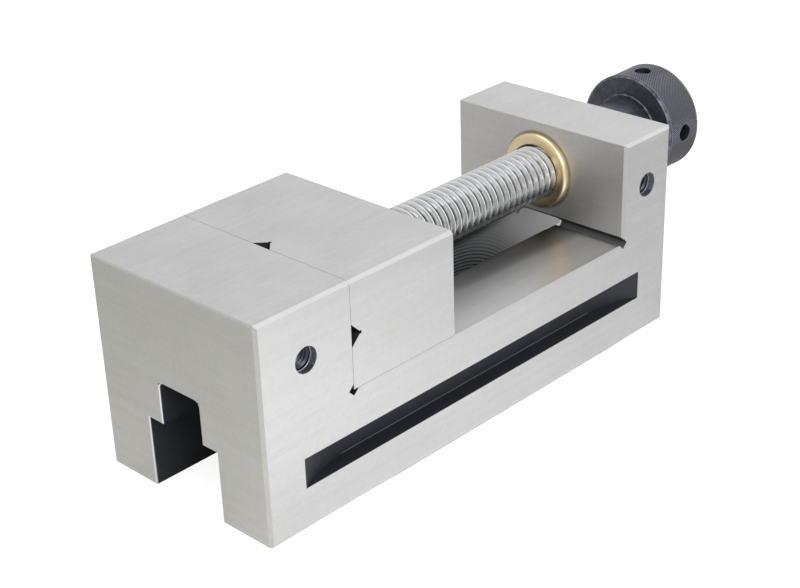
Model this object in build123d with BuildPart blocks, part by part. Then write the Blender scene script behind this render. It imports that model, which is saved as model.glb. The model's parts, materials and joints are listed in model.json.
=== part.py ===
from build123d import *
import math
import os

# Toolmakers vise with a captive screw, shown with its jaws closed. All sizes are in mm.
# X runs along the vise from the fixed jaw to the knob, and Z is up from the ground base.
# The origin is under the middle of the whole vise. Left is the -Y side.

# Body: bed, fixed jaw and upright in one piece
body_length = 189.0
body_width = 73.0
bed_height = 37.4
jaw_height = 35.0
fixed_jaw_length = 36.0
upright_length = 24.4

# T channel along the whole body, open below, and open to the bed between jaw and upright
slot_width = 18.0
slot_roof_rise = 1.1
slot_roof_fillet = 2.0
channel_width = 31.0
channel_height = 24.1

# Edges and corner reliefs of the ground faces
bold_chamfer = 1.0
fine_chamfer = 0.3
channel_rim_chamfer = 0.4
relief_half_diagonal = 2.0

# Clamp slots in both sides, cut with a disc cutter that leaves an arc at each end
side_slot_height = 10.0
side_slot_bottom = 13.6
side_slot_depth = 6.0
side_slot_margin = 15.0
side_slot_cutter_radius = 50.0

# Tapped holes M8 in the sides of the fixed jaw and the upright
side_hole_radius = 4.0
side_hole_length = 12.0
side_hole_mouth_radius = 4.2
side_hole_mouth_depth = 2.5

# Movable jaw with its V grooves and the tongue that runs in the bed slot
moving_jaw_length = 44.0
closed_gap = 0.05
way_gap = 0.03
v_groove_depth = 3.8
v_relief_width = 1.0
v_relief_depth = 0.8
tongue_gap = 0.05
tongue_setback = 6.0
tongue_length = 34.0

# Keeper plate under the ledges of the channel, and its two socket head screws M6
keeper_side_gap = 0.2
keeper_thickness = 10.0
keeper_chamfer = 0.8
keeper_screw_inset = 7.0
keeper_screw_radius = 3.0
keeper_screw_length = 20.0
keeper_head_radius = 5.0
keeper_head_height = 6.0
keeper_head_recess = 0.3
keeper_socket_radius = 2.9
keeper_socket_depth = 3.0
keeper_thread_spare = 2.0

# Screw spindle: threaded part, nose in the jaw, and stem in the knob
screw_radius = 9.25
screw_end_chamfer = 1.0
thread_pitch = 3.0
thread_depth = 1.8
thread_flat = 0.4
shoulder_gap = 0.3
nose_radius = 6.5
nose_length = 22.0
nose_groove_radius = 4.4
nose_groove_setback = 15.0
nose_groove_play = 0.15
stem_radius = 7.0
stem_recess = 0.5
shaft_gap = 0.05

# Thrust ball in the tip of the nose
ball_radius = 3.5
ball_seat_gap = 0.03
ball_standout = 2.6
ball_thrust_gap = 0.3

# Dowel pins in the tongue that hold the nose by its groove
pin_radius = 1.5
pin_groove_gap = 0.1
pin_hole_gap = 0.02
pin_rise = 4.0

# Brass nut in the upright, with its flange on the jaw side
nut_barrel_radius = 11.5
nut_flange_radius = 13.4
nut_flange_thickness = 2.5
nut_flange_fillet = 1.4
nut_mouth_chamfer = 0.6
nut_seat_gap = 0.02

# Grub screw M5 in the roof of the channel, with a dog point in the nut
lock_screw_radius = 2.5
lock_point_radius = 1.7
lock_point_length = 1.2
lock_screw_recess = 0.6
lock_socket_radius = 1.4
lock_socket_depth = 2.0

# Knob: hub, collar and drum with four holes for a tommy bar
hub_gap = 1.0
hub_radius = 11.4
hub_length = 24.7
collar_radius = 12.7
collar_height = 0.8
knob_radius = 19.4
knob_length = 17.0
knob_rim_chamfer = 0.9
tommy_hole_radius = 3.0
tommy_hole_depth = 9.0
tommy_hole_setback = 8.5
tommy_hole_count = 4

# Spring pin through hub and stem
knob_pin_radius = 2.5
knob_pin_bore_radius = 1.6
knob_pin_setback = 12.0
knob_pin_turn = -45.0
knob_pin_recess = 0.3

# Places along X
overall_length = body_length + hub_gap + hub_length + knob_length
jaw_end = -overall_length / 2
fixed_face = jaw_end + fixed_jaw_length
body_rear = jaw_end + body_length
upright_front = body_rear - upright_length
moving_face = fixed_face + closed_gap
moving_rear = moving_face + moving_jaw_length
tongue_front = moving_face + tongue_setback
tongue_rear = tongue_front + tongue_length
nose_tip = moving_rear - nose_length
nose_bore_floor = nose_tip - ball_standout - ball_thrust_gap
retaining_x = moving_rear - nose_groove_setback
screw_front = moving_rear + shoulder_gap
hub_front = body_rear + hub_gap
knob_front = hub_front + hub_length
knob_rear = knob_front + knob_length
tommy_x = knob_front + tommy_hole_setback
knob_pin_x = hub_front + knob_pin_setback

# Heights and half widths
vise_height = bed_height + jaw_height
screw_height = bed_height + jaw_height / 2
slot_roof = bed_height + slot_roof_rise
half_width = body_width / 2
jaw_foot = bed_height + way_gap
tongue_half_width = slot_width / 2 - tongue_gap
keeper_top = channel_height - way_gap
keeper_bottom = keeper_top - keeper_thickness
keeper_half_width = channel_width / 2 - keeper_side_gap
keeper_head_seat = keeper_bottom + keeper_head_recess + keeper_head_height
pin_offset = nose_groove_radius + pin_groove_gap + pin_radius
nut_barrel_bottom = screw_height - nut_barrel_radius
upright_middle = (upright_front + body_rear) / 2

side_plane = Plane.XZ
screw_plane = Plane(origin=(0, 0, screw_height), x_dir=(1, 0, 0), z_dir=(0, -1, 0))
screw_axis = Axis((0, 0, screw_height), (1, 0, 0))
knob_pin_plane = Plane(origin=(knob_pin_x, 0, screw_height)).rotated((knob_pin_turn, 0, 0))

os.makedirs("parts", exist_ok=True)


def finish(builder, name):
    """Label a finished piece and write it to its own file."""
    builder.part.label = name
    export_step(builder.part, f"parts/{name}.step")


# Body
with BuildPart() as vise_body:
    with BuildSketch(side_plane):
        with BuildLine():
            Polyline(
                (jaw_end, 0),
                (body_rear, 0),
                (body_rear, vise_height),
                (upright_front, vise_height),
                (upright_front, bed_height),
                (fixed_face, bed_height),
                (fixed_face, vise_height),
                (jaw_end, vise_height),
                close=True,
            )
        make_face()
    extrude(amount=half_width, both=True)

    # Bold chamfers on the long top edges and on the corner posts, but not on the jaw face
    posts = vise_body.edges().filter_by(Axis.Z).group_by(Axis.X)
    long_tops = vise_body.edges().filter_by(Axis.X).group_by(Axis.Z)[-1]
    chamfer(posts[0] + posts[2] + posts[3] + long_tops, bold_chamfer)
    cross_tops = vise_body.edges().filter_by(Axis.Y).group_by(Axis.Z)[-1].group_by(Axis.X)
    bottom_edges = vise_body.edges().group_by(Axis.Z)[0]
    chamfer(cross_tops[0] + cross_tops[2] + cross_tops[3] + bottom_edges, fine_chamfer)

    # T channel through the whole length
    with BuildSketch(Plane.YZ.offset(jaw_end)) as channel_profile:
        Rectangle(channel_width, channel_height, align=(Align.CENTER, Align.MIN))
        Rectangle(slot_width, slot_roof, align=(Align.CENTER, Align.MIN))
        fillet(channel_profile.vertices().group_by(Axis.Y)[-1], slot_roof_fillet)
    extrude(amount=body_length, mode=Mode.SUBTRACT)
    end_faces = vise_body.faces().filter_by(Axis.X).sort_by(Axis.X)
    channel_rims = [
        edge
        for face in (end_faces[0], end_faces[-1])
        for edge in face.edges()
        if abs(edge.center().Y) < channel_width / 2 + fine_chamfer and edge.center().Z > fine_chamfer
    ]
    chamfer(channel_rims, channel_rim_chamfer)

    # Straight walls up to the bed between jaw and upright, with a fine chamfer along both edges
    with BuildSketch(Plane.YZ.offset(fixed_face)):
        with BuildLine():
            Polyline(
                (-slot_width / 2 - fine_chamfer, bed_height),
                (-slot_width / 2, bed_height - fine_chamfer),
                (-slot_width / 2, slot_roof - slot_roof_fillet),
                (slot_width / 2, slot_roof - slot_roof_fillet),
                (slot_width / 2, bed_height - fine_chamfer),
                (slot_width / 2 + fine_chamfer, bed_height),
                close=True,
            )
        make_face()
    extrude(amount=upright_front - fixed_face, mode=Mode.SUBTRACT)

    # Reliefs in the corners at the foot of the fixed jaw and of the upright
    with BuildSketch(side_plane):
        with Locations((fixed_face, bed_height), (upright_front, bed_height)):
            relief_side = relief_half_diagonal * math.sqrt(2)
            Rectangle(relief_side, relief_side, rotation=45)
    extrude(amount=half_width, both=True, mode=Mode.SUBTRACT)

    # Side clamp slots: the disc cutter's path from its first to its last centre
    slot_floor = half_width - side_slot_depth
    cutter_line = slot_floor + side_slot_cutter_radius
    entry_run = math.sqrt(side_slot_cutter_radius**2 - (cutter_line - half_width) ** 2)
    cutter_travel = body_length - 2 * (side_slot_margin + entry_run)
    body_middle = (jaw_end + body_rear) / 2
    with BuildSketch(Plane.XY.offset(side_slot_bottom)):
        with Locations((body_middle, -cutter_line), (body_middle, cutter_line)):
            SlotCenterToCenter(cutter_travel, 2 * side_slot_cutter_radius)
    extrude(amount=side_slot_height, mode=Mode.SUBTRACT)

    # Tapped side holes at mid jaw height
    for side in (-1, 1):
        for x in (jaw_end + fixed_jaw_length / 2, upright_middle):
            with Locations(Plane(origin=(x, side * half_width, screw_height), z_dir=(0, side, 0))):
                CounterBoreHole(
                    side_hole_radius,
                    side_hole_mouth_radius,
                    side_hole_mouth_depth,
                    depth=side_hole_mouth_depth + side_hole_length,
                )

    # Seat of the nut, and the hole of the screw that locks it
    with Locations(Plane(origin=(upright_front, 0, screw_height), z_dir=(-1, 0, 0))):
        Hole(nut_barrel_radius + nut_seat_gap, depth=upright_length)
    with Locations(Plane(origin=(upright_middle, 0, slot_roof), z_dir=(0, 0, -1))):
        Hole(lock_screw_radius + pin_hole_gap, depth=screw_height - slot_roof)
finish(vise_body, "vise_body")

# Movable jaw
with BuildPart() as movable_jaw:
    with BuildSketch(Plane.YZ.offset(moving_face)):
        with Locations((0, jaw_foot)):
            Rectangle(body_width, vise_height - jaw_foot, align=(Align.CENTER, Align.MIN))
    extrude(amount=moving_jaw_length)
    chamfer(movable_jaw.edges().filter_by(Axis.X).group_by(Axis.Z)[-1], bold_chamfer)
    rear_edges = movable_jaw.faces().sort_by(Axis.X)[-1].edges()
    chamfer(rear_edges, fine_chamfer)

    # Tongue, which fills the slot in the bed
    with BuildSketch(Plane.XY.offset(keeper_top)):
        with Locations(((tongue_front + tongue_rear) / 2, 0)):
            Rectangle(tongue_length, 2 * tongue_half_width)
    extrude(amount=jaw_foot - keeper_top)
    tongue_posts = movable_jaw.edges().filter_by(Axis.Z).filter_by_position(
        Axis.Y, -slot_width / 2, slot_width / 2
    )
    chamfer(tongue_posts, fine_chamfer)

    # Crossed V grooves with a square relief at the apex
    with BuildSketch(Plane.XY.offset(jaw_foot)):
        with Locations((moving_face, 0)):
            v_side = v_groove_depth * math.sqrt(2)
            Rectangle(v_side, v_side, rotation=45)
            Rectangle(2 * (v_groove_depth + v_relief_depth - v_relief_width / 2), v_relief_width)
    extrude(amount=vise_height - jaw_foot, mode=Mode.SUBTRACT)
    with BuildSketch(side_plane):
        with Locations((moving_face, screw_height)):
            Rectangle(v_side, v_side, rotation=45)
            Rectangle(2 * (v_groove_depth + v_relief_depth - v_relief_width / 2), v_relief_width)
    extrude(amount=half_width, both=True, mode=Mode.SUBTRACT)

    # Bore for the spindle's nose, and the two pin holes that cross it
    with Locations(Plane(origin=(moving_rear, 0, screw_height), z_dir=(1, 0, 0))):
        Hole(nose_radius + shaft_gap, depth=moving_rear - nose_bore_floor)
    with Locations(Plane(origin=(retaining_x, 0, keeper_top), z_dir=(0, 0, -1))):
        with Locations((0, -pin_offset), (0, pin_offset)):
            Hole(pin_radius + pin_hole_gap, depth=screw_height + pin_rise - keeper_top)

    # Tapped holes for the keeper screws
    with Locations(Plane(origin=(0, 0, keeper_top), z_dir=(0, 0, -1), x_dir=(1, 0, 0))):
        with Locations((tongue_front + keeper_screw_inset, 0), (tongue_rear - keeper_screw_inset, 0)):
            Hole(
                keeper_screw_radius + pin_hole_gap,
                depth=keeper_screw_length - (keeper_top - keeper_head_seat) + keeper_thread_spare,
            )
finish(movable_jaw, "movable_jaw")

# Keeper plate
with BuildPart() as keeper_plate:
    with BuildSketch(Plane.XY.offset(keeper_bottom)):
        with Locations(((tongue_front + tongue_rear) / 2, 0)):
            Rectangle(tongue_length, 2 * keeper_half_width)
    extrude(amount=keeper_thickness)
    chamfer(keeper_plate.edges().filter_by(Axis.Z), keeper_chamfer)
    with Locations(Plane(origin=(0, 0, keeper_bottom), z_dir=(0, 0, -1), x_dir=(1, 0, 0))):
        with Locations((tongue_front + keeper_screw_inset, 0), (tongue_rear - keeper_screw_inset, 0)):
            CounterBoreHole(
                keeper_screw_radius + keeper_side_gap,
                keeper_head_radius + keeper_side_gap,
                keeper_head_height + keeper_head_recess,
                depth=keeper_thickness,
            )
finish(keeper_plate, "keeper_plate")

# Socket head screws of the keeper plate
for name, x in (
    ("keeper_screw_front", tongue_front + keeper_screw_inset),
    ("keeper_screw_rear", tongue_rear - keeper_screw_inset),
):
    with BuildPart() as keeper_screw:
        with BuildSketch(Plane((x, 0, keeper_head_seat - keeper_head_height))):
            Circle(keeper_head_radius)
        extrude(amount=keeper_head_height)
        chamfer(keeper_screw.edges().group_by(Axis.Z)[0], fine_chamfer)
        with BuildSketch(Plane((x, 0, keeper_head_seat))):
            Circle(keeper_screw_radius)
        extrude(amount=keeper_screw_length)
        chamfer(keeper_screw.edges().group_by(Axis.Z)[-1], fine_chamfer)
        with BuildSketch(Plane((x, 0, keeper_head_seat - keeper_head_height))):
            RegularPolygon(keeper_socket_radius, 6)
        extrude(amount=keeper_socket_depth, mode=Mode.SUBTRACT)
    finish(keeper_screw, name)

# Dowel pins beside the nose of the spindle
for name, side in (("retaining_pin_left", -1), ("retaining_pin_right", 1)):
    with BuildPart() as retaining_pin:
        with BuildSketch(Plane((retaining_x, side * pin_offset, keeper_top))):
            Circle(pin_radius)
        extrude(amount=screw_height + pin_rise - keeper_top)
        chamfer(retaining_pin.edges().filter_by(GeomType.CIRCLE), fine_chamfer)
    finish(retaining_pin, name)

# Screw spindle, turned about its own axis, with its thread drawn as rings at the real pitch
with BuildPart() as lead_screw:
    groove_half = pin_radius + nose_groove_play
    thread_root = screw_radius - thread_depth
    thread_flank = thread_pitch / 2 - thread_flat
    thread_start = screw_front + screw_end_chamfer + thread_flat
    thread_end = hub_front - screw_end_chamfer - thread_flat
    ring_starts = [
        thread_start + index * thread_pitch
        for index in range(int((thread_end - thread_start) / thread_pitch))
    ]
    thread_rings = [
        point
        for start in ring_starts
        for point in (
            (start, screw_radius),
            (start + thread_flank, thread_root),
            (start + thread_flank + thread_flat, thread_root),
            (start + 2 * thread_flank + thread_flat, screw_radius),
        )
    ]
    with BuildSketch(screw_plane):
        with BuildLine():
            Polyline(
                (nose_tip, 0),
                (nose_tip, nose_radius - fine_chamfer),
                (nose_tip + fine_chamfer, nose_radius),
                (retaining_x - groove_half, nose_radius),
                (retaining_x - groove_half, nose_groove_radius),
                (retaining_x + groove_half, nose_groove_radius),
                (retaining_x + groove_half, nose_radius),
                (screw_front, nose_radius),
                (screw_front, screw_radius - screw_end_chamfer),
                (screw_front + screw_end_chamfer, screw_radius),
                *thread_rings,
                (hub_front - screw_end_chamfer, screw_radius),
                (hub_front, screw_radius - screw_end_chamfer),
                (hub_front, stem_radius),
                (knob_rear - stem_recess - fine_chamfer, stem_radius),
                (knob_rear - stem_recess, stem_radius - fine_chamfer),
                (knob_rear - stem_recess, 0),
                close=True,
            )
        make_face()
    revolve(axis=screw_axis)
    with Locations(Plane(origin=(nose_tip, 0, screw_height), z_dir=(-1, 0, 0))):
        Hole(ball_radius + ball_seat_gap, depth=2 * ball_radius - ball_standout + ball_seat_gap)
    with Locations(knob_pin_plane):
        Hole(knob_pin_radius + pin_hole_gap)
finish(lead_screw, "lead_screw")

# Thrust ball
with BuildPart() as thrust_ball:
    with Locations((nose_tip - ball_standout + ball_radius, 0, screw_height)):
        Sphere(ball_radius)
finish(thrust_ball, "thrust_ball")

# Brass nut
with BuildPart() as spindle_nut:
    with BuildSketch(Plane(origin=(body_rear, 0, screw_height), z_dir=(-1, 0, 0))):
        Circle(nut_barrel_radius)
    extrude(amount=upright_length)
    with BuildSketch(Plane(origin=(upright_front, 0, screw_height), z_dir=(-1, 0, 0))):
        Circle(nut_flange_radius)
    extrude(amount=nut_flange_thickness)
    fillet(spindle_nut.edges().group_by(Axis.X)[0], nut_flange_fillet)
    with Locations(Plane(origin=(upright_front - nut_flange_thickness, 0, screw_height), z_dir=(-1, 0, 0))):
        Hole(screw_radius + shaft_gap)
    bore_mouths = spindle_nut.edges().filter_by(GeomType.CIRCLE).filter_by(
        lambda edge: edge.radius < screw_radius + 2 * shaft_gap
    )
    chamfer(bore_mouths, nut_mouth_chamfer)
    with Locations(Plane(origin=(upright_middle, 0, nut_barrel_bottom), z_dir=(0, 0, -1))):
        Hole(lock_point_radius + pin_hole_gap, depth=lock_point_length + pin_hole_gap)
finish(spindle_nut, "spindle_nut")

# Grub screw that locks the nut
with BuildPart() as nut_lock_screw:
    with BuildSketch(Plane((upright_middle, 0, slot_roof + lock_screw_recess))):
        Circle(lock_screw_radius)
    extrude(amount=nut_barrel_bottom - fine_chamfer - slot_roof - lock_screw_recess)
    chamfer(nut_lock_screw.edges().filter_by(GeomType.CIRCLE), fine_chamfer)
    with BuildSketch(Plane((upright_middle, 0, nut_barrel_bottom - fine_chamfer))):
        Circle(lock_point_radius)
    extrude(amount=lock_point_length + fine_chamfer)
    with BuildSketch(Plane((upright_middle, 0, slot_roof + lock_screw_recess))):
        RegularPolygon(lock_socket_radius, 6)
    extrude(amount=lock_socket_depth, mode=Mode.SUBTRACT)
finish(nut_lock_screw, "nut_lock_screw")

# Knob
with BuildPart() as knob:
    with BuildSketch(screw_plane):
        with BuildLine():
            Polyline(
                (hub_front, stem_radius + shaft_gap),
                (hub_front, hub_radius - fine_chamfer),
                (hub_front + fine_chamfer, hub_radius),
                (knob_front - collar_height, hub_radius),
                (knob_front - collar_height, collar_radius - fine_chamfer),
                (knob_front - collar_height + fine_chamfer, collar_radius),
                (knob_front, collar_radius),
                (knob_front, knob_radius - knob_rim_chamfer),
                (knob_front + knob_rim_chamfer, knob_radius),
                (knob_rear - knob_rim_chamfer, knob_radius),
                (knob_rear, knob_radius - knob_rim_chamfer),
                (knob_rear, stem_radius + shaft_gap + fine_chamfer),
                (knob_rear - fine_chamfer, stem_radius + shaft_gap),
                close=True,
            )
        make_face()
    revolve(axis=screw_axis)
    for index in range(tommy_hole_count):
        turn = 360 * index / tommy_hole_count
        radial = Plane(origin=(tommy_x, 0, screw_height)).rotated((-turn, 0, 0))
        with Locations(radial.offset(knob_radius)):
            Hole(tommy_hole_radius, depth=tommy_hole_depth)
    with Locations(knob_pin_plane):
        Hole(knob_pin_radius + pin_hole_gap)
finish(knob, "knob")

# Spring pin, rolled from strip, with the slit along its length
with BuildPart() as knob_pin:
    pin_half_length = hub_radius - knob_pin_recess
    with BuildSketch(knob_pin_plane):
        Circle(knob_pin_radius)
        Circle(knob_pin_bore_radius, mode=Mode.SUBTRACT)
        with Locations((knob_pin_radius, 0)):
            Rectangle(2 * knob_pin_radius, knob_pin_radius / 3, mode=Mode.SUBTRACT)
    extrude(amount=pin_half_length, both=True)
finish(knob_pin, "knob_pin")
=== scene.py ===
import json
import math

import bpy
from mathutils import Euler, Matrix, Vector


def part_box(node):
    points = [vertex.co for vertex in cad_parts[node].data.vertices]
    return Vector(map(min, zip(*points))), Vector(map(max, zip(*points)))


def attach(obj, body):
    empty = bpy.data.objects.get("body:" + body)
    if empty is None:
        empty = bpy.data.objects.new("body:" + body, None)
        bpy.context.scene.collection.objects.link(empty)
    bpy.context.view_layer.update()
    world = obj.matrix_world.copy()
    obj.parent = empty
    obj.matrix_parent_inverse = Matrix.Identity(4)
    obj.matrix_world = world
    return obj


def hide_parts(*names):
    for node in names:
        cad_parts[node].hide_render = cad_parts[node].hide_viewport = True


# Toolmakers vise with its jaws closed, in a white studio. Lengths are metres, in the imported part's frame.
# X runs along the vise from the fixed jaw to the knob, and Z is up from the ground base.

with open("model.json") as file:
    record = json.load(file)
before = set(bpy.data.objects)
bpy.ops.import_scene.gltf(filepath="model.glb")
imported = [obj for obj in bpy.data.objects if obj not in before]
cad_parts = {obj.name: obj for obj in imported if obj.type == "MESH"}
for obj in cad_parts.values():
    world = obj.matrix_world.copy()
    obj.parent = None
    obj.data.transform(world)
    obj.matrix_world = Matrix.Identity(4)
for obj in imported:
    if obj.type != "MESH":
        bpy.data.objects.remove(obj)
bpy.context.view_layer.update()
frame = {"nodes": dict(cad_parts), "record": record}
nodes = frame["nodes"]
mounts = {mount["name"]: mount for mount in frame["record"]["mounts"]}

# Places from the frame
body_low, body_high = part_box("vise_body")
jaw_low, jaw_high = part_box("movable_jaw")
screw_low, screw_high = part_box("lead_screw")
nut_low, nut_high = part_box("spindle_nut")
knob_low, knob_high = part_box("knob")
pin_low, pin_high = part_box("knob_pin")
lock_low, lock_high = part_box("nut_lock_screw")
body_middle = (body_low.x + body_high.x) / 2
half_length = (body_high.x - body_low.x) / 2
pin_x = (pin_low.x + pin_high.x) / 2
lock_x = (lock_low.x + lock_high.x) / 2
axis_height = (knob_low.z + knob_high.z) / 2
knob_radius = (knob_high.z - knob_low.z) / 2
screw_radius = (screw_high.z - screw_low.z) / 2
flange_radius = (nut_high.z - nut_low.z) / 2
half_width = body_high.y

# Body
fixed_jaw_length = 0.036
upright_length = 0.0244
fixed_face = body_low.x + fixed_jaw_length
upright_front = body_high.x - upright_length
bed_height = 0.0374
slot_half_width = 0.009
slot_roof = 0.0385
slot_edge_width = 0.0003
channel_half_width = 0.0155
channel_height = 0.0241
channel_rim = 0.0004
wall_top = bed_height - 0.0004
side_slot_bottom = 0.0136
side_slot_top = 0.0236
side_slot_inset = 0.015
side_slot_depth = 0.006
side_slot_front = body_low.x + side_slot_inset
side_slot_rear = body_high.x - side_slot_inset
side_slot_floor = half_width - side_slot_depth
relief_half_diagonal = 0.002

# How far a mask reaches past the faces that it covers, and the width of the hairlines of oil and of painted
# highlight
seam = 0.00005
hairline = 0.00016

# Cutter that milled the slot, and the arcs that it left
cutter_x = 0.01325
cutter_height = -0.008
cutter_step = 0.00125
deep_arcs_reach = 0.038
faint_arcs_start = 0.047

# Painted shade, painted light and painted reflection on the ground surfaces, and oil at the jaw's parting
# lines
shade_lip_depth = 0.0035
shade_lip_full_depth = 0.001
shade_lip_fade_start = 0.02
shade_lip_fade_end = 0.003
reflection_strip_front = 0.007
reflection_strip_rear = 0.013
shade_corner_reach = 0.002
flange_shade_width = 0.0011
mouth_light_fade = 0.0004
parting_edge = 0.0002
upright_tint_reach = 0.001

# Movable jaw
jaw_foot = bed_height + 0.00003
v_groove_depth = 0.0038
v_relief_depth = 0.0008
v_relief_half_width = 0.00055

# Spindle
thread_pitch = 0.003
thread_depth = 0.0018
thread_flat = 0.0004
thread_steps = 60
lead_in_turns = 1.507
screw_clearance = 0.0003
screw_front = jaw_high.x + screw_clearance
screw_end_chamfer = 0.0019
nose_radius = 0.0065
groove_radius = 0.0044
groove_half_width = 0.00165
groove_setback = 0.015
groove_x = jaw_high.x - groove_setback
groove_front = groove_x - groove_half_width
groove_rear = groove_x + groove_half_width
stem_radius = 0.007
ball_seat_radius = 0.00353
ball_seat_depth = 0.00443
fine_chamfer = 0.0003

# Nut
nut_barrel_radius = 0.0115
nut_flange_thickness = 0.0025
nut_flange_round = 0.0014
nut_round_steps = 6
nut_mouth_chamfer = 0.0006
lock_seat_radius = 0.00172
lock_seat_depth = 0.0013
lock_seat_gap = 0.00005

# Knob
hub_radius = 0.0114
collar_radius = 0.0127
collar_height = 0.0008
drum_length = 0.017
rim_chamfer = 0.0009
knurl_count = 132
knurl_rows = 16
knurl_depth = 0.00028
pin_direction = Vector((0, 1, 1)).normalized()
pin_hole_radius = 0.00252
pin_drill_length = 0.03

# Thread in the tapped side holes, M8
tap_pitch = 0.00125
tap_depth = 0.0006
tap_flank = 0.44 * tap_pitch
tap_crest = 0.12 * tap_pitch
tap_root_gap = 0.001 * tap_pitch
tap_start = 0.2 * tap_pitch
tap_steps = 40
tap_mouth_radius = 0.0043
tap_mouth_depth = 0.0025

# Gaps and overlaps between pieces that meet
running_gap = 0.00005
shaft_overlap = 0.002
blank_margin = 0.000496
drill_overrun = 0.002
spare_turns = 3

# Fineness of the meshes: points this near are joined, and edges steeper than this many degrees stay sharp
weld_distance = 1e-6
sharp_angle = 30
drill_sides = 48
shaft_sides = 96
nut_sides = 128


# Modelling

def pick(piece):
    """Make a piece the only one that is selected."""
    bpy.ops.object.select_all(action="DESELECT")
    piece.select_set(True)
    bpy.context.view_layer.objects.active = piece


def select_points(piece, wanted):
    """Open a piece for editing with those of its points selected that are wanted."""
    pick(piece)
    bpy.ops.object.mode_set(mode="EDIT")
    bpy.ops.mesh.select_mode(type="VERT")
    bpy.ops.mesh.select_all(action="DESELECT")
    bpy.ops.object.mode_set(mode="OBJECT")
    for point in piece.data.vertices:
        point.select = wanted(point.co)
    bpy.ops.object.mode_set(mode="EDIT")


def settle(piece):
    """Put a piece's place into its mesh, join its doubles and turn its faces outwards."""
    pick(piece)
    bpy.ops.object.transform_apply(location=True, rotation=True, scale=True)
    bpy.ops.object.mode_set(mode="EDIT")
    bpy.ops.mesh.select_all(action="SELECT")
    bpy.ops.mesh.remove_doubles(threshold=weld_distance)
    bpy.ops.mesh.normals_make_consistent(inside=False)
    bpy.ops.object.mode_set(mode="OBJECT")


def turned(name, profile, sides, bored=False):
    """Turn a piece about the screw's axis. The profile lists places along X, each with its radius."""
    (x, radius), *rest = profile
    bpy.ops.object.select_all(action="DESELECT")
    bpy.ops.mesh.primitive_circle_add(
        vertices=sides,
        radius=radius,
        fill_type="NOTHING" if bored else "NGON",
        location=(x, 0, axis_height),
        rotation=(0, math.pi / 2, 0),
    )
    piece = bpy.context.object
    piece.name = name
    bpy.ops.object.transform_apply(location=True, rotation=True, scale=True)
    bpy.ops.object.mode_set(mode="EDIT")
    for next_x, next_radius in rest:
        bpy.ops.mesh.extrude_region_move(TRANSFORM_OT_translate={"value": (next_x - x, 0, 0)})
        growth = next_radius / radius
        bpy.ops.transform.resize(value=(1, growth, growth), center_override=(next_x, 0, axis_height))
        x, radius = next_x, next_radius
    if bored:
        bpy.ops.mesh.select_all(action="DESELECT")
        bpy.ops.mesh.select_non_manifold()
        bpy.ops.mesh.bridge_edge_loops()
    bpy.ops.object.mode_set(mode="OBJECT")
    settle(piece)
    return piece


def combine(piece, other, operation):
    """Unite a piece with another, cut the other away or keep what both share. The other is used up."""
    pick(piece)
    modifier = piece.modifiers.new(operation.title(), "BOOLEAN")
    modifier.operation = operation
    modifier.solver = "EXACT"
    modifier.object = other
    bpy.ops.object.modifier_apply(modifier=modifier.name)
    bpy.data.objects.remove(other)


def drill(piece, centre, direction, radius, length):
    """Drill a round hole through a piece, of that length about its centre."""
    bpy.ops.object.select_all(action="DESELECT")
    bpy.ops.mesh.primitive_cylinder_add(
        vertices=drill_sides,
        radius=radius,
        depth=length,
        location=centre,
        rotation=direction.to_track_quat("Z", "Y").to_euler(),
    )
    cutter = bpy.context.object
    bpy.ops.object.transform_apply(location=True, rotation=True, scale=True)
    combine(piece, cutter, "DIFFERENCE")


def helix(name, section, pitch, turns, steps, closed):
    """Sweep a section, points along the axis and out from it, in a right-hand helix about X."""
    bpy.ops.object.select_all(action="DESELECT")
    bpy.ops.mesh.primitive_plane_add(size=pitch)
    piece = bpy.context.object
    piece.name = name
    bpy.ops.object.mode_set(mode="EDIT")
    bpy.ops.mesh.merge(type="CENTER")
    (along, out), *rest = section
    bpy.ops.transform.translate(value=(along, 0, out))
    for next_along, next_out in rest:
        bpy.ops.mesh.extrude_region_move(
            TRANSFORM_OT_translate={"value": (next_along - along, 0, next_out - out)}
        )
        along, out = next_along, next_out
    if closed:
        bpy.ops.mesh.select_all(action="SELECT")
        bpy.ops.mesh.edge_face_add()
        bpy.ops.mesh.delete(type="ONLY_FACE")
    bpy.ops.object.mode_set(mode="OBJECT")
    sweep = piece.modifiers.new("Sweep", "SCREW")
    sweep.axis = "X"
    sweep.screw_offset = pitch
    sweep.iterations = turns
    sweep.steps = steps
    sweep.render_steps = steps
    sweep.use_smooth_shade = False
    bpy.ops.object.modifier_apply(modifier=sweep.name)
    bpy.ops.object.mode_set(mode="EDIT")
    bpy.ops.mesh.select_all(action="SELECT")
    bpy.ops.mesh.remove_doubles(threshold=weld_distance)
    bpy.ops.mesh.select_all(action="DESELECT")
    bpy.ops.mesh.select_non_manifold()
    bpy.ops.mesh.fill_holes(sides=0)
    bpy.ops.object.mode_set(mode="OBJECT")
    return piece


def dress(piece, body, material):
    """Smooth a finished piece, give it its material and let it ride on its body."""
    pick(piece)
    bpy.ops.object.shade_smooth_by_angle(angle=math.radians(sharp_angle))
    piece.data.materials.clear()
    piece.data.materials.append(material)
    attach(piece, body)


# Finishes

skin_dark = (0.024, 0.027, 0.034, 1.0)
skin_light = (0.086, 0.094, 0.112, 1.0)


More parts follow.
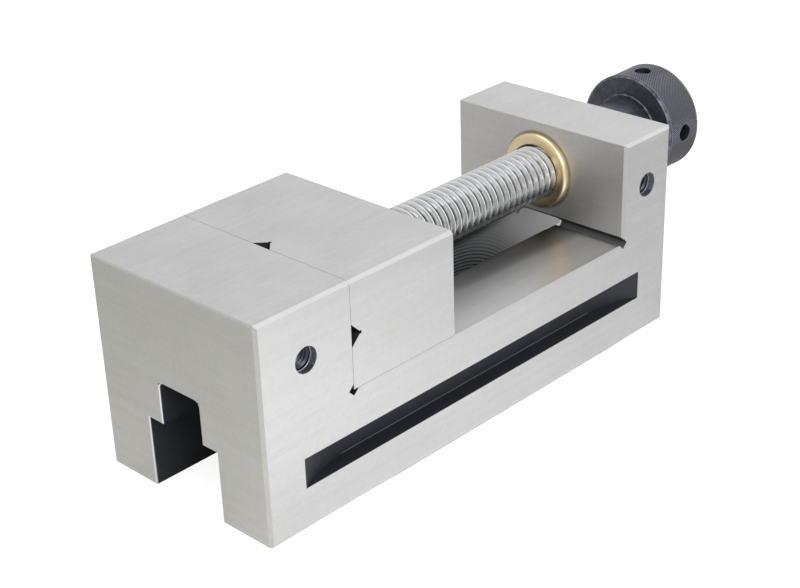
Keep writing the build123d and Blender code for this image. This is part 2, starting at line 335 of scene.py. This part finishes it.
class Signal:
    """An output of a finish's nodes. Sums with it add Math nodes."""

    def __init__(self, finish, node, output):
        self.finish = finish
        self.node = node
        self.socket = node.outputs[output]

    def of(self, output):
        """Another output of the same node."""
        return Signal(self.finish, self.node, output)

    def math(self, operation, *terms):
        """The result of one Math node."""
        return self.finish.node("ShaderNodeMath", {"operation": operation}, dict(enumerate(terms)))

    def __add__(self, other):
        return self.math("ADD", self, other)

    def __sub__(self, other):
        return self.math("SUBTRACT", self, other)

    def __rsub__(self, other):
        return self.math("SUBTRACT", other, self)

    def __mul__(self, other):
        return self.math("MULTIPLY", self, other)

    def __rmul__(self, other):
        return self.math("MULTIPLY", other, self)

    def __truediv__(self, other):
        return self.math("DIVIDE", self, other)

    def __pow__(self, other):
        return self.math("POWER", self, other)

    def __gt__(self, other):
        return self.math("GREATER_THAN", self, other)

    def __lt__(self, other):
        return self.math("LESS_THAN", self, other)

    def __abs__(self):
        return self.math("ABSOLUTE", self)


class Finish:
    """A material in the making, or a world."""

    def __init__(self, name, world=None):
        self.holder = world or bpy.data.materials.new(name)
        self.holder.use_nodes = True
        self.tree = self.holder.node_tree
        self.tree.nodes.clear()
        self.place = self.node("ShaderNodeTexCoord", output="Object")
        self.facing = self.place.of("Normal")
        self.x, self.y, self.z = self.split(self.place)

    def node(self, kind, settings=None, inputs=None, output=0):
        """Add a node with its settings and the values or links of its inputs."""
        node = self.tree.nodes.new(kind)
        for name, setting in (settings or {}).items():
            setattr(node, name, setting)
        for name, value in (inputs or {}).items():
            if isinstance(value, Signal):
                self.tree.links.new(value.socket, node.inputs[name])
            else:
                node.inputs[name].default_value = value
        return Signal(self, node, output) if node.outputs else None

    def split(self, vector):
        """The three parts of a vector."""
        parts = self.node("ShaderNodeSeparateXYZ", inputs={0: vector})
        return parts, parts.of("Y"), parts.of("Z")

    def noise(self, stretch, detail=2.0, roughness=0.5):
        """Noise from 0 to 1 whose spots are one over stretch long in metres, along X, Y and Z."""
        grid = self.node("ShaderNodeVectorMath", {"operation": "MULTIPLY"}, {0: self.place, 1: stretch})
        return self.node(
            "ShaderNodeTexNoise",
            inputs={"Vector": grid, "Scale": 1.0, "Detail": detail, "Roughness": roughness},
        )

    def ring_noise(self, along, around):
        """Noise in rings about the screw's axis, with its scales along the axis and around it."""
        z = self.z - axis_height
        turn = self.z.math("ARCTAN2", z, self.y)
        radius = self.from_axis()
        grid = self.node(
            "ShaderNodeCombineXYZ",
            inputs={0: self.x * along, 1: turn * around, 2: radius * along},
        )
        return self.node("ShaderNodeTexNoise", inputs={"Vector": grid, "Scale": 1.0, "Detail": 3.0})

    def from_axis(self):
        """How far a point is from the screw's axis."""
        z = self.z - axis_height
        return (self.y * self.y + z * z) ** 0.5

    def shift(self, value, low, high, start=0.0, end=1.0):
        """Map a value from low and high to start and end, and hold it there outside them."""
        return self.node(
            "ShaderNodeMapRange",
            {"clamp": True},
            {"Value": value, "From Min": low, "From Max": high, "To Min": start, "To Max": end},
        )

    def mix(self, share, first, second):
        """A number that goes from first to second as share goes from 0 to 1."""
        return self.node("ShaderNodeMix", {"data_type": "FLOAT"}, {0: share, 2: first, 3: second})

    def blend(self, share, first, second, blend_type="MIX"):
        """A colour that goes from first to second as share goes from 0 to 1."""
        return self.node(
            "ShaderNodeMix",
            {"data_type": "RGBA", "blend_type": blend_type},
            {0: share, 6: first, 7: second},
            output=2,
        )

    def bump(self, height, distance, strength):
        """A surface that stands up by that distance where height is 1."""
        return self.node(
            "ShaderNodeBump",
            inputs={"Height": height, "Distance": distance, "Strength": strength},
        )

    def close(self, **sockets):
        """Give the material its surface."""
        inputs = {name.replace("_", " "): value for name, value in sockets.items()}
        surface = self.node("ShaderNodeBsdfPrincipled", inputs=inputs)
        self.node("ShaderNodeOutputMaterial", inputs={"Surface": surface})
        return self.holder


def grey(level, warmth=0.0):
    """A grey colour, warmer or cooler by a share of its level."""
    return (level * (1 + warmth), level, level * (1 - warmth), 1.0)


def between(value, low, high):
    """1 where a value lies between two numbers, and 0 elsewhere."""
    return (value > low) * (value < high)


def either(mask, *others):
    """The highest of some masks."""
    for other in others:
        mask = mask.math("MAXIMUM", mask, other)
    return mask


def corner_relief(finish, x, z):
    """Mask of the square groove that lies along Y at that place."""
    near = abs(finish.x - x) + abs(finish.z - z)
    return (near < relief_half_diagonal + seam) * (abs(finish.y) < half_width - seam)


def side_slots(finish):
    """Mask of the clamp slots in the body's sides."""
    return (
        between(finish.z, side_slot_bottom - seam, side_slot_top + seam)
        * between(abs(finish.y), side_slot_floor - seam, half_width - seam)
        * between(finish.x, side_slot_front - seam, side_slot_rear + seam)
    )


def painted_highlight_rims(finish):
    """Mask of the broken edges, painted as highlights, where the slot and the channel come out of the
    body's end faces.
    """
    from_end = half_length - abs(finish.x - body_middle)
    return (
        between(from_end, seam, channel_rim * 1.75)
        * (abs(finish.y) < channel_half_width + channel_rim + seam)
        * (finish.z < slot_roof + channel_rim + seam)
    )


def unground_body(finish):
    """Mask of the body's surfaces that are milled and blackened, not ground."""
    side = abs(finish.y)
    channel = (side < channel_half_width + seam) * (finish.z < channel_height + seam)
    slot = side < slot_half_width + seam
    under_jaw = slot * (finish.z < slot_roof + seam) * (finish.x < fixed_face)
    roof = slot * between(finish.z, wall_top, slot_roof + seam) * (finish.x > upright_front - seam)
    return either(side_slots(finish), channel, under_jaw, roof) * (1 - painted_highlight_rims(finish))


def blackened_and_shaded_jaw(finish):
    """Mask of the movable jaw's V grooves and bore, dark partly as blackened steel and partly as painted
    shade in the narrow grooves.
    """
    out = abs(finish.x - jaw_low.x)
    depth = v_groove_depth + seam
    upright_groove = (out + abs(finish.y)) < depth
    cross_groove = (out + abs(finish.z - axis_height)) < depth
    slits = (out < v_groove_depth + v_relief_depth) * either(
        abs(finish.y) < v_relief_half_width,
        abs(finish.z - axis_height) < v_relief_half_width,
    )
    inside = (finish.x > jaw_low.x + seam) * (finish.z < jaw_high.z - seam)
    inside = inside * (abs(finish.y) < half_width - seam)
    return either(upright_groove, cross_groove, slits) * inside


def tapped_bores(finish):
    """Mask of the bores of the tapped side holes."""
    up = finish.z - axis_height
    inside = abs(finish.y) < half_width - 2 * hairline
    front = finish.x - (body_low.x + fixed_face) / 2
    rear = finish.x - (upright_front + body_high.x) / 2
    near_front = (front * front + up * up) < tap_mouth_radius ** 2
    near_rear = (rear * rear + up * up) < tap_mouth_radius ** 2
    return either(near_front, near_rear) * inside


def slot_wall(finish):
    """Mask of the milled walls of the slot in the bed, which run on under the upright."""
    return (
        (abs(finish.y) < slot_half_width + seam)
        * between(finish.z, channel_height + seam, wall_top)
        * (finish.x > fixed_face)
    )


def from_cutter(finish):
    """How far a point of the slot's wall is from the middle of the cutter that milled it."""
    along = finish.x - cutter_x
    up = finish.z - cutter_height
    return (along * along + up * up) ** 0.5


def milled_arcs(finish):
    """The arcs that the cutter left on the walls of the slot, deep near it and faint further off."""
    away = from_cutter(finish)
    phase = away * (2 * math.pi / cutter_step)
    wave = phase.math("SINE", phase)
    waver = finish.noise((260, 260, 260), detail=3)
    share = finish.shift(away, deep_arcs_reach, faint_arcs_start, 1.0, 0.10)
    return (wave * share) * (waver * 0.6 + 0.2) + 0.5


def ways(finish):
    """Mask of the ground ways of the bed, between the jaw and the upright."""
    return (
        between(finish.z, bed_height - seam, bed_height + seam)
        * between(finish.x, fixed_face, upright_front)
    )


def slot_edges(finish):
    """Mask of the broken edges along the top of the slot, which are painted dark as shade and dark
    reflection.
    """
    return (
        (abs(finish.y) < slot_half_width + slot_edge_width + seam)
        * between(finish.z, bed_height - slot_edge_width - seam, bed_height - seam / 2)
        * between(finish.x, fixed_face, upright_front)
    )


def parting_lines(finish):
    """Mask of the hairlines of oil where the movable jaw meets the body."""
    on_jaw = either(finish.x < jaw_low.x + hairline, finish.z < jaw_foot + hairline)
    outside = either(abs(finish.y) > half_width - seam, finish.z > jaw_high.z - parting_edge)
    return on_jaw * outside


def tint_side_slots(finish, colour, dark):
    """Cool the skin of the clamp slots, and paint a highlight on the line along the foot of their inner
    walls.
    """
    colour = finish.blend(side_slots(finish), colour, (0.70, 0.70, 0.74, 1.0), "MULTIPLY")
    # Painted highlight: a light hairline along the foot of the slots' inner walls.
    corner = between(abs(finish.y), side_slot_floor - hairline, side_slot_floor + hairline)
    corner = corner * (finish.z < side_slot_bottom + hairline)
    return finish.blend(corner * dark * 0.9, colour, (0.28, 0.34, 0.40, 1.0))


def tint_reliefs(finish, colour, skin_grain):
    """Darken the square grooves at the feet of the fixed jaw and the upright."""
    reliefs = either(
        corner_relief(finish, fixed_face, bed_height),
        corner_relief(finish, upright_front, bed_height),
    )
    return finish.blend(reliefs, colour, finish.blend(skin_grain, grey(0.10, -0.03), grey(0.26, -0.02)))


def tint_edges(finish, colour, steep_chamfer):
    """Paint highlights on the channel's rims, and shade on the upright's front corners and round the
    flange.
    """
    # Painted highlight on the rims of the slot and the channel at the end faces.
    colour = finish.blend(painted_highlight_rims(finish), colour, grey(0.98))
    # Painted shade on the vertical chamfers at the upright's front corners, which dims their highlight.
    painted_shade_corner = steep_chamfer * (abs(finish.y) > half_width - shade_corner_reach)
    painted_shade_corner = painted_shade_corner * (abs(finish.x - upright_front) < shade_corner_reach)
    colour = finish.blend(painted_shade_corner * 0.6, colour, grey(0.45))
    # Painted shade in a ring round the flange on the upright's front, which dims the flange's reflection
    # there.
    shade_end = flange_radius + flange_shade_width
    flange_shade_ring = finish.shift(finish.from_axis(), flange_radius, shade_end, 0.75, 0.0)
    flange_shade_ring = flange_shade_ring * (abs(finish.x - upright_front) < seam)
    return finish.blend(flange_shade_ring, colour, grey(0.12))


def tint_bores(finish, colour, spots):
    """Colour the bores of the tapped side holes, light in their mouths and dark below."""
    # The mouths are painted light to lift the shade in them; deeper in, the bores are dark.
    mouth_end = half_width - tap_mouth_depth
    mouth = finish.shift(abs(finish.y), mouth_end - mouth_light_fade, mouth_end)
    bore = finish.blend(mouth, (0.08, 0.083, 0.10, 1.0), (0.72, 0.74, 0.82, 1.0))
    return finish.blend(tapped_bores(finish), colour, finish.blend(spots * 0.5, bore, grey(0.2)))


def tint_slot_wall(finish, colour, wall, arcs):
    """Colour the slot's milled walls: cutter arcs, painted light to the rear, painted shade under the
    screw.
    """
    # Painted light: the walls grow lighter to the rear, and lighter still under the upright.
    painted_light_rearward = finish.shift(finish.x + finish.z - bed_height, cutter_x, upright_front)
    wall_dark = finish.blend(painted_light_rearward, grey(0.09, -0.05), grey(0.44))
    wall_light = finish.blend(painted_light_rearward, grey(0.48, -0.05), grey(0.62, 0.01))
    painted_light_under_upright = finish.shift(finish.x, upright_front, body_high.x, 0.0, 0.4)
    wall_colour = finish.blend(painted_light_under_upright, finish.blend(arcs, wall_dark, wall_light), grey(0.7))
    below_bed = bed_height - finish.z
    before_upright = upright_front - finish.x
    # Painted shade along the top of the walls, under the screw, fading out near the upright.
    painted_shade_lip = finish.shift(below_bed, shade_lip_full_depth, shade_lip_depth, 0.9, 0.0)
    painted_shade_lip = painted_shade_lip * finish.shift(before_upright, shade_lip_fade_end, shade_lip_fade_start)
    wall_colour = finish.blend(painted_shade_lip, wall_colour, grey(0.05, -0.04))
    return finish.blend(wall, colour, wall_colour)


def tint_ways(finish, colour, way):
    """Paint the dark reflection of the screw on the ways, in a strip that widens to the rear, and shade on
    the slot's edges.
    """
    # Painted reflection: a dark strip on the ways along the slot stands for the screw's dark underside
    # mirrored in them.
    reflection_strip_reach = finish.shift(finish.x, jaw_high.x, upright_front, reflection_strip_front, reflection_strip_rear)
    painted_reflection_strip = finish.shift((abs(finish.y) - slot_half_width) / reflection_strip_reach, 0.0, 1.0, 0.95, 0.0) ** 0.7
    colour = finish.blend(way * painted_reflection_strip, colour, (0.055, 0.058, 0.065, 1.0))
    # Painted shade and dark reflection on the slot's top edges.
    return finish.blend(slot_edges(finish), colour, (0.050, 0.053, 0.060, 1.0))


def ground_steel(name, unground=None):
    """Fine ground steel: grind lines along the vise, and across it on the end faces."""
    finish = Finish(name)
    nx, ny, nz = (abs(part) for part in finish.split(finish.facing))
    end_face = nx > 0.7
    lines = finish.mix(
        end_face,
        finish.noise((90, 4200, 4200), detail=4, roughness=0.65),
        finish.noise((4200, 90, 4200), detail=4, roughness=0.65),
    )
    streaks = finish.mix(
        end_face,
        finish.noise((14, 500, 500)),
        finish.noise((500, 14, 500)),
    )
    grain = finish.noise((1500, 1500, 1500), detail=3)
    clouds = finish.noise((55, 55, 55), detail=3)
    spots = finish.noise((700, 700, 700), detail=4, roughness=0.6)
    tone = lines * 0.25 + streaks * 0.2 + grain * 0.15 + spots * 0.2 + clouds * 0.2
    colour = finish.blend(finish.shift(tone, 0.32, 0.68), grey(0.625, 0.005), grey(0.775))
    # Painted shade: the end faces are made a little darker and warmer, the upright's front less so.
    on_upright = abs(finish.x - upright_front) < upright_tint_reach
    end_face_painted_shade = finish.blend(on_upright, (0.93, 0.925, 0.87, 1.0), (1.0, 0.98, 0.945, 1.0))
    colour = finish.blend(end_face, colour, end_face_painted_shade, "MULTIPLY")
    chamfer = either(nx, ny, nz) < 0.95
    top_chamfer = chamfer * (nz > 0.3)
    steep_chamfer = chamfer * (nz < 0.3)
    # Painted highlight: the top chamfers are lightened.
    colour = finish.blend(top_chamfer * 0.5, colour, grey(0.82))
    roughness = finish.shift(lines + clouds, 0.7, 1.3, 0.34, 0.44) + end_face * 0.14
    metallic = 1.0
    height = lines * 0.6 + streaks * 0.2 + grain * 0.2
    if unground:
        dark = unground(finish)
        skin_grain = finish.noise((900, 900, 900), detail=6, roughness=0.7)
        skin_clouds = finish.noise((120, 120, 120), detail=3)
        skin = finish.blend(skin_grain * 0.6 + skin_clouds * 0.4, skin_dark, skin_light)
        colour = finish.blend(dark, colour, skin)
        roughness = finish.mix(dark, roughness, finish.shift(skin_grain, 0.3, 0.7, 0.42, 0.62))
        metallic = finish.mix(dark, 1.0, 0.2)
    if unground is unground_body:
        wall = slot_wall(finish)
        arcs = milled_arcs(finish)
        way = ways(finish)
        colour = tint_side_slots(finish, colour, dark)
        colour = tint_reliefs(finish, colour, skin_grain)
        colour = tint_edges(finish, colour, steep_chamfer)
        colour = tint_bores(finish, colour, spots)
        colour = tint_slot_wall(finish, colour, wall, arcs)
        colour = tint_ways(finish, colour, way)
        metallic = finish.mix(wall, metallic, 0.55)
        roughness = finish.mix(wall, roughness, 0.36)
        roughness = finish.mix(way, roughness, finish.shift(lines, 0.3, 0.7, 0.29, 0.36))
        height = finish.mix(wall, height, arcs)
    if unground is blackened_and_shaded_jaw:
        colour = finish.blend(parting_lines(finish) * 0.5, colour, grey(0.18))
    return finish.close(
        Base_Color=colour,
        Metallic=metallic,
        Roughness=roughness,
        Normal=finish.bump(height, 0.00001, 0.4),
    )


def bright_thread(name):
    """Rolled steel thread, its crests lightened as wear and painted highlight, its roots painted dark as
    shade.
    """
    finish = Finish(name)
    radius = finish.from_axis()
    crest = finish.shift(radius, screw_radius - thread_depth, screw_radius)
    lines = finish.ring_noise(7000, 3.0)
    spots = finish.noise((500, 500, 500), detail=4)
    # The crests are lightened as wear and painted highlight, and the roots darkened as painted shade.
    crest_wear_and_root_shade = finish.shift(crest + (lines - 0.5) * 0.25 + (spots - 0.5) * 0.35, 0.12, 0.65)
    flanks = finish.blend(crest_wear_and_root_shade, grey(0.09, -0.05), grey(0.80, -0.02))
    colour = finish.blend(finish.shift(crest, 0.8, 0.95), flanks, grey(0.99, -0.01))
    return finish.close(
        Base_Color=colour,
        Metallic=1.0,
        Roughness=finish.mix(crest_wear_and_root_shade, 0.26, 0.13),
        Normal=finish.bump(lines + spots, 0.00001, 0.4),
    )


def turned_brass(name):
    """Turned brass with faint rings and a little tarnish."""
    finish = Finish(name)
    rings = finish.ring_noise(6000, 1.5)
    tarnish = finish.noise((220, 220, 220), detail=5, roughness=0.65)
    colour = finish.blend(rings, (0.90, 0.73, 0.44, 1.0), (1.0, 0.84, 0.55, 1.0))
    colour = finish.blend(finish.shift(tarnish, 0.50, 0.80, 0.0, 0.25), colour, (0.55, 0.42, 0.24, 1.0))
    return finish.close(
        Base_Color=colour,
        Metallic=1.0,
        Roughness=finish.shift(tarnish, 0.3, 0.7, 0.26, 0.35),
        Normal=finish.bump(rings, 0.00001, 0.5),
    )


def knob_wear_and_highlight(finish, colour, spots):
    """Colour the knob: light peaks of the knurl, rims lightened as wear and painted highlight, and dull
    holes.
    """
    nx, ny, nz = finish.split(finish.facing)
    radius = finish.from_axis()
    below_knurl = knob_radius - knurl_depth * 1.5
    peaks = finish.shift(radius, knob_radius - knurl_depth * 0.9, knob_radius)
    knurl = finish.blend(peaks ** 1.5, (0.048, 0.050, 0.058, 1.0), (0.42, 0.41, 0.46, 1.0))
    colour = finish.blend(radius > below_knurl, colour, finish.blend(spots * 0.5, knurl, colour))
    # Rims and chamfers lightened in patches, as wear and painted highlight.
    rim_highlight = between(abs(nx), 0.25, 0.95) * (radius < knob_radius - knurl_depth)
    colour = finish.blend(rim_highlight * finish.shift(spots, 0.45, 0.65, 0.0, 0.7), colour, (0.33, 0.36, 0.41, 1.0))
    drum = between(finish.x, knob_high.x - drum_length + rim_chamfer, knob_high.x - rim_chamfer)
    return finish.blend(drum * (radius < below_knurl), colour, (0.15, 0.16, 0.19, 1.0))


def black_oxide(name, knurled=False):
    """Blackened steel with faint turned rings and spots."""
    finish = Finish(name)
    rings = finish.ring_noise(5000, 2.0)
    spots = finish.noise((420, 420, 420), detail=5, roughness=0.65)
    tone = finish.shift(rings * 0.4 + spots * 0.6, 0.3, 0.7)
    colour = finish.blend(tone, (0.058, 0.066, 0.086, 1.0), (0.195, 0.207, 0.240, 1.0))
    if knurled:
        colour = knob_wear_and_highlight(finish, colour, spots)
    return finish.close(
        Base_Color=colour,
        Metallic=0.85,
        Roughness=finish.shift(spots, 0.3, 0.7, 0.3, 0.46),
        Normal=finish.bump(rings, 0.000008, 0.5),
    )


def polished_steel(name):
    """Hardened and polished steel of pins and ball."""
    finish = Finish(name)
    spots = finish.noise((900, 900, 900), detail=4)
    return finish.close(
        Base_Color=finish.blend(spots, grey(0.62), grey(0.74)),
        Metallic=1.0,
        Roughness=finish.shift(spots, 0.3, 0.7, 0.14, 0.24),
        Normal=finish.bump(spots, 0.000004, 0.4),
    )


def cut_thread_steel(name):
    """Dark steel of the thread inside the tapped holes."""
    finish = Finish(name)
    spots = finish.noise((1500, 1500, 1500), detail=4)
    return finish.close(
        Base_Color=finish.blend(spots, (0.046, 0.049, 0.062, 1.0), (0.105, 0.110, 0.130, 1.0)),
        Metallic=0.9,
        Roughness=finish.shift(spots, 0.3, 0.7, 0.28, 0.42),
        Normal=finish.bump(spots, 0.000006, 0.4),
    )


thread_finish = bright_thread("bright_thread")
brass_finish = turned_brass("turned_brass")
knob_finish = black_oxide("black_oxide_knurled", knurled=True)
oxide_finish = black_oxide("black_oxide_small")
pin_finish = polished_steel("polished_pins")
tap_finish = cut_thread_steel("tapped_thread")
node_finishes = {
    "vise_body": ground_steel("ground_steel_body", unground_body),
    "movable_jaw": ground_steel("ground_steel_jaw", blackened_and_shaded_jaw),
    "keeper_plate": ground_steel("ground_steel_keeper"),
    "keeper_screw_front": oxide_finish,
    "keeper_screw_rear": oxide_finish,
    "retaining_pin_left": pin_finish,
    "retaining_pin_right": pin_finish,
    "thrust_ball": pin_finish,
    "nut_lock_screw": oxide_finish,
    "knob_pin": pin_finish,
}
for node_name, node_finish in node_finishes.items():
    for material_slot in nodes[node_name].material_slots:
        material_slot.material = node_finish


# Spindle: rolled thread, with the nose and the stem turned on it

def make_spindle():
    """The screw spindle with its thread."""
    root = screw_radius - thread_depth
    flank = (thread_pitch - 2 * thread_flat) / 2
    section = [
        (0, root),
        (thread_flat, root),
        (thread_flat + flank, screw_radius),
        (2 * thread_flat + flank, screw_radius),
        (thread_pitch, root),
    ]
    rear = knob_low.x
    turns = math.ceil((rear - screw_front) / thread_pitch) + spare_turns
    spindle = helix("spindle", section, thread_pitch, turns, thread_steps, closed=False)
    spindle.location = (screw_front - lead_in_turns * thread_pitch, 0, axis_height)
    settle(spindle)
    blank_radius = screw_radius + blank_margin
    blank = turned(
        "blank",
        [
            (screw_front, screw_radius - screw_end_chamfer),
            (screw_front + screw_end_chamfer, blank_radius),
            (rear - screw_end_chamfer, blank_radius),
            (rear, screw_radius - screw_end_chamfer),
        ],
        shaft_sides,
    )
    combine(spindle, blank, "INTERSECT")
    tip = screw_low.x
    shaft = turned(
        "shaft",
        [
            (tip + ball_seat_depth, ball_seat_radius),
            (tip, ball_seat_radius),
            (tip, nose_radius - fine_chamfer),
            (tip + fine_chamfer, nose_radius),
            (groove_front, nose_radius),
            (groove_front, groove_radius),
            (groove_rear, groove_radius),
            (groove_rear, nose_radius),
            (screw_front + shaft_overlap, nose_radius),
            (screw_front + shaft_overlap, stem_radius),
            (screw_high.x - fine_chamfer, stem_radius),
            (screw_high.x, stem_radius - fine_chamfer),
        ],
        shaft_sides,
    )
    combine(spindle, shaft, "UNION")
    drill(spindle, Vector((pin_x, 0, axis_height)), pin_direction, pin_hole_radius, pin_drill_length)
    settle(spindle)
    dress(spindle, "spindle", thread_finish)
    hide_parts("lead_screw")


# Brass nut with its rounded flange

def make_nut():
    """The nut in the upright."""
    bore = screw_radius + running_gap
    front = nut_low.x
    flange_rear = front + nut_flange_thickness
    turns = [math.pi / 2 * step / nut_round_steps for step in range(nut_round_steps, -1, -1)]
    corner = [
        (
            front + nut_flange_round * (1 - math.sin(turn)),
            flange_radius - nut_flange_round * (1 - math.cos(turn)),
        )
        for turn in turns
    ]
    nut = turned(
        "brass_nut",
        [
            (front + nut_mouth_chamfer, bore),
            (front, bore + nut_mouth_chamfer),
            *corner,
            (flange_rear, flange_radius),
            (flange_rear, nut_barrel_radius),
            (nut_high.x, nut_barrel_radius),
            (nut_high.x, bore + nut_mouth_chamfer),
            (nut_high.x - nut_mouth_chamfer, bore),
        ],
        nut_sides,
        bored=True,
    )
    lock_seat = Vector((lock_x, 0, lock_high.z + lock_seat_gap - lock_seat_depth / 2))
    drill(nut, lock_seat, Vector((0, 0, 1)), lock_seat_radius, lock_seat_depth)
    settle(nut)
    dress(nut, "base", brass_finish)
    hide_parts("spindle_nut")


# Knob: hub, collar and knurled drum

def make_knob():
    """The knob, turned, knurled and drilled."""
    sides = 2 * knurl_count
    bore = stem_radius + running_gap
    front = knob_high.x - drum_length
    knurl_front = front + rim_chamfer
    knurl_rear = knob_high.x - rim_chamfer
    row = (knurl_rear - knurl_front) / (2 * knurl_rows)
    knob = turned(
        "knurled_knob",
        [
            (knob_low.x, bore),
            (knob_low.x, hub_radius - fine_chamfer),
            (knob_low.x + fine_chamfer, hub_radius),
            (front - collar_height, hub_radius),
            (front - collar_height, collar_radius - fine_chamfer),
            (front - collar_height + fine_chamfer, collar_radius),
            (front, collar_radius),
            (front, knob_radius - rim_chamfer),
            *[(knurl_front + k * row, knob_radius) for k in range(2 * knurl_rows + 1)],
            (knob_high.x, knob_radius - rim_chamfer),
            (knob_high.x, bore + fine_chamfer),
            (knob_high.x - fine_chamfer, bore),
        ],
        sides,
        bored=True,
    )

    def in_groove(point):
        """Whether a point of the drum lies where two grooves of the knurl cross."""
        if math.hypot(point.y, point.z - axis_height) < knob_radius - rim_chamfer / 2:
            return False
        around = round(math.atan2(point.z - axis_height, point.y) / (2 * math.pi) * sides)
        along = round((point.x - knurl_front) / row)
        return 0 < along < 2 * knurl_rows and (around + along) % 2 == 0

    select_points(knob, in_groove)
    bpy.ops.mesh.vert_connect()
    squeeze = (knob_radius - knurl_depth) / knob_radius
    bpy.ops.transform.resize(value=(1, squeeze, squeeze), center_override=(front, 0, axis_height))
    bpy.ops.object.mode_set(mode="OBJECT")
    for name, mount in mounts.items():
        if name.startswith("tommy_hole"):
            direction = Vector(mount["axis"])
            radius = mount["dims"]["r_mm"] / 1000
            depth = mount["dims"]["length_mm"] / 1000
            centre = Vector(mount["pos_m"]) + direction * drill_overrun / 2
            drill(knob, centre, direction, radius, depth + drill_overrun)
    drill(knob, Vector((pin_x, 0, axis_height)), pin_direction, pin_hole_radius, pin_drill_length)
    settle(knob)
    dress(knob, "spindle", knob_finish)
    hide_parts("knob")


# Threads in the four tapped side holes

def make_tapped_threads():
    """A ridge of thread in each of the tapped holes."""
    for name, mount in mounts.items():
        if not name.startswith("tapped_hole"):
            continue
        radius = mount["dims"]["r_mm"] / 1000
        length = mount["dims"]["length_mm"] / 1000
        turns = math.floor(length / tap_pitch) - 1
        section = [
            (0, radius),
            (tap_flank, radius - tap_depth),
            (tap_flank + tap_crest, radius - tap_depth),
            (tap_pitch - tap_root_gap, radius),
        ]
        ridge = helix(name + "_thread", section, tap_pitch, turns, tap_steps, closed=True)
        inwards = -Vector(mount["axis"])
        mouth = Vector(mount["pos_m"]) - inwards * length / 2
        ridge.rotation_euler = inwards.to_track_quat("X", "Z").to_euler()
        ridge.location = mouth + inwards * tap_start
        settle(ridge)
        dress(ridge, "base", tap_finish)


make_spindle()
make_nut()
make_knob()
make_tapped_threads()


# Studio: a white floor that keeps the vise's shadow, and white all round

floor_size = 40
floor_glow = 0.62
feet_glow = 0.25
pool_glow = 0.80
pool_x = -0.07
pool_y = -0.12
pool_reach = 0.31
shade_x = 0.113
shade_y = 0.036
shade_reach = 0.038
shade_fade_front = 0.02
shade_fade_rear = 0.005
feet_fade = 0.004
outer_fade = 0.010
soft_sky = 0.55
left_sky = 0.84
right_sky = 1.16
left_sky_end = -0.2
right_sky_start = 0.4
camera_place = (-0.37256, -0.34014, 0.28008)
camera_turn = (62.003, 3.146, -44.035)
camera_lens = 75.459
camera_shift = (0.1122, 0.0507)
film_width = 36
light_target = Vector((0, 0, 0.04))


def away_from(finish, x, y):
    """How far a point of the floor is from a place on it."""
    along = finish.x - x
    across = finish.y - y
    return (along * along + across * across) ** 0.5


def plateau(finish, start, full, last, end):
    """A share that rises along X from start to full, stays 1 up to last and falls to 0 at end."""
    return finish.shift(finish.x, start, full) * finish.shift(finish.x, last, end, 1.0, 0.0)


def make_floor():
    """The floor: white but for the shade under the vise and its knob, and brightest in reflections."""
    bpy.ops.object.select_all(action="DESELECT")
    bpy.ops.mesh.primitive_plane_add(size=floor_size)
    floor = bpy.context.object
    floor.name = "studio_floor"
    finish = Finish("studio_floor")
    seen = finish.node("ShaderNodeLightPath")
    pool = finish.shift(away_from(finish, pool_x, pool_y), 0.0, pool_reach, pool_glow, 0.0) ** 2
    lit = finish.shift(away_from(finish, shade_x, shade_y), 0.0, shade_reach)
    lit = lit * lit * (3 - 2 * lit)
    within = abs(finish.y) < half_width
    covered = within * between(finish.x, body_low.x, body_high.x)
    under_bed = within * plateau(
        finish,
        fixed_face,
        fixed_face + shade_fade_front,
        upright_front - shade_fade_rear,
        upright_front + outer_fade,
    )
    at_feet = within * plateau(
        finish,
        body_low.x - outer_fade,
        body_low.x + feet_fade,
        body_high.x - feet_fade,
        body_high.x + outer_fade,
    )
    paper = finish.node("ShaderNodeBsdfDiffuse", inputs={"Color": finish.blend(lit, grey(0.7), grey(0.88))})
    shown = lit * (1 - under_bed) * (at_feet * feet_glow + floor_glow)
    strength = seen * shown + seen.of("Is Glossy Ray") * pool * (1 - covered)
    glow = finish.node("ShaderNodeEmission", inputs={"Strength": strength})
    both = finish.node("ShaderNodeAddShader", inputs={0: paper, 1: glow})
    finish.node("ShaderNodeOutputMaterial", inputs={"Surface": both})
    floor.data.materials.append(finish.holder)


def light_world():
    """White all round for the camera, brighter on the right in reflections, and soft light for the rest."""
    sky = Finish("white_studio", bpy.data.worlds.new("white_studio"))
    bpy.context.scene.world = sky.holder
    seen = sky.node("ShaderNodeLightPath")
    east, north, _ = sky.split(sky.place.of("Generated"))
    rightward = (east - north) * math.sqrt(0.5)
    mirrored = sky.shift(rightward, left_sky_end, right_sky_start, left_sky, right_sky)
    level = sky.mix(seen.of("Is Glossy Ray"), soft_sky, mirrored)
    level = sky.mix(either(seen, seen.of("Is Transmission Ray")), level, 1.0)
    light = sky.node("ShaderNodeBackground", inputs={"Strength": level})
    sky.node("ShaderNodeOutputWorld", inputs={"Surface": light})


def soft_light(name, place, size, power):
    """A square soft light that looks at the vise."""
    bpy.ops.object.light_add(type="AREA", location=place)
    lamp = bpy.context.object
    lamp.name = name
    lamp.rotation_euler = (light_target - Vector(place)).to_track_quat("-Z", "Y").to_euler()
    lamp.data.size = size
    lamp.data.energy = power


def set_camera():
    """The camera of the photograph."""
    bpy.ops.object.camera_add(
        location=camera_place,
        rotation=Euler(math.radians(angle) for angle in camera_turn),
    )
    camera = bpy.context.object
    camera.data.sensor_width = film_width
    camera.data.lens = camera_lens
    camera.data.shift_x, camera.data.shift_y = camera_shift
    bpy.context.scene.camera = camera


make_floor()
light_world()
soft_light("key_light", (-0.25, -0.9, 0.7), 0.6, 3.0)
soft_light("top_light", (0.1, 0.1, 1.1), 0.9, 2.5)
set_camera()
bpy.context.scene.view_settings.view_transform = "Standard"
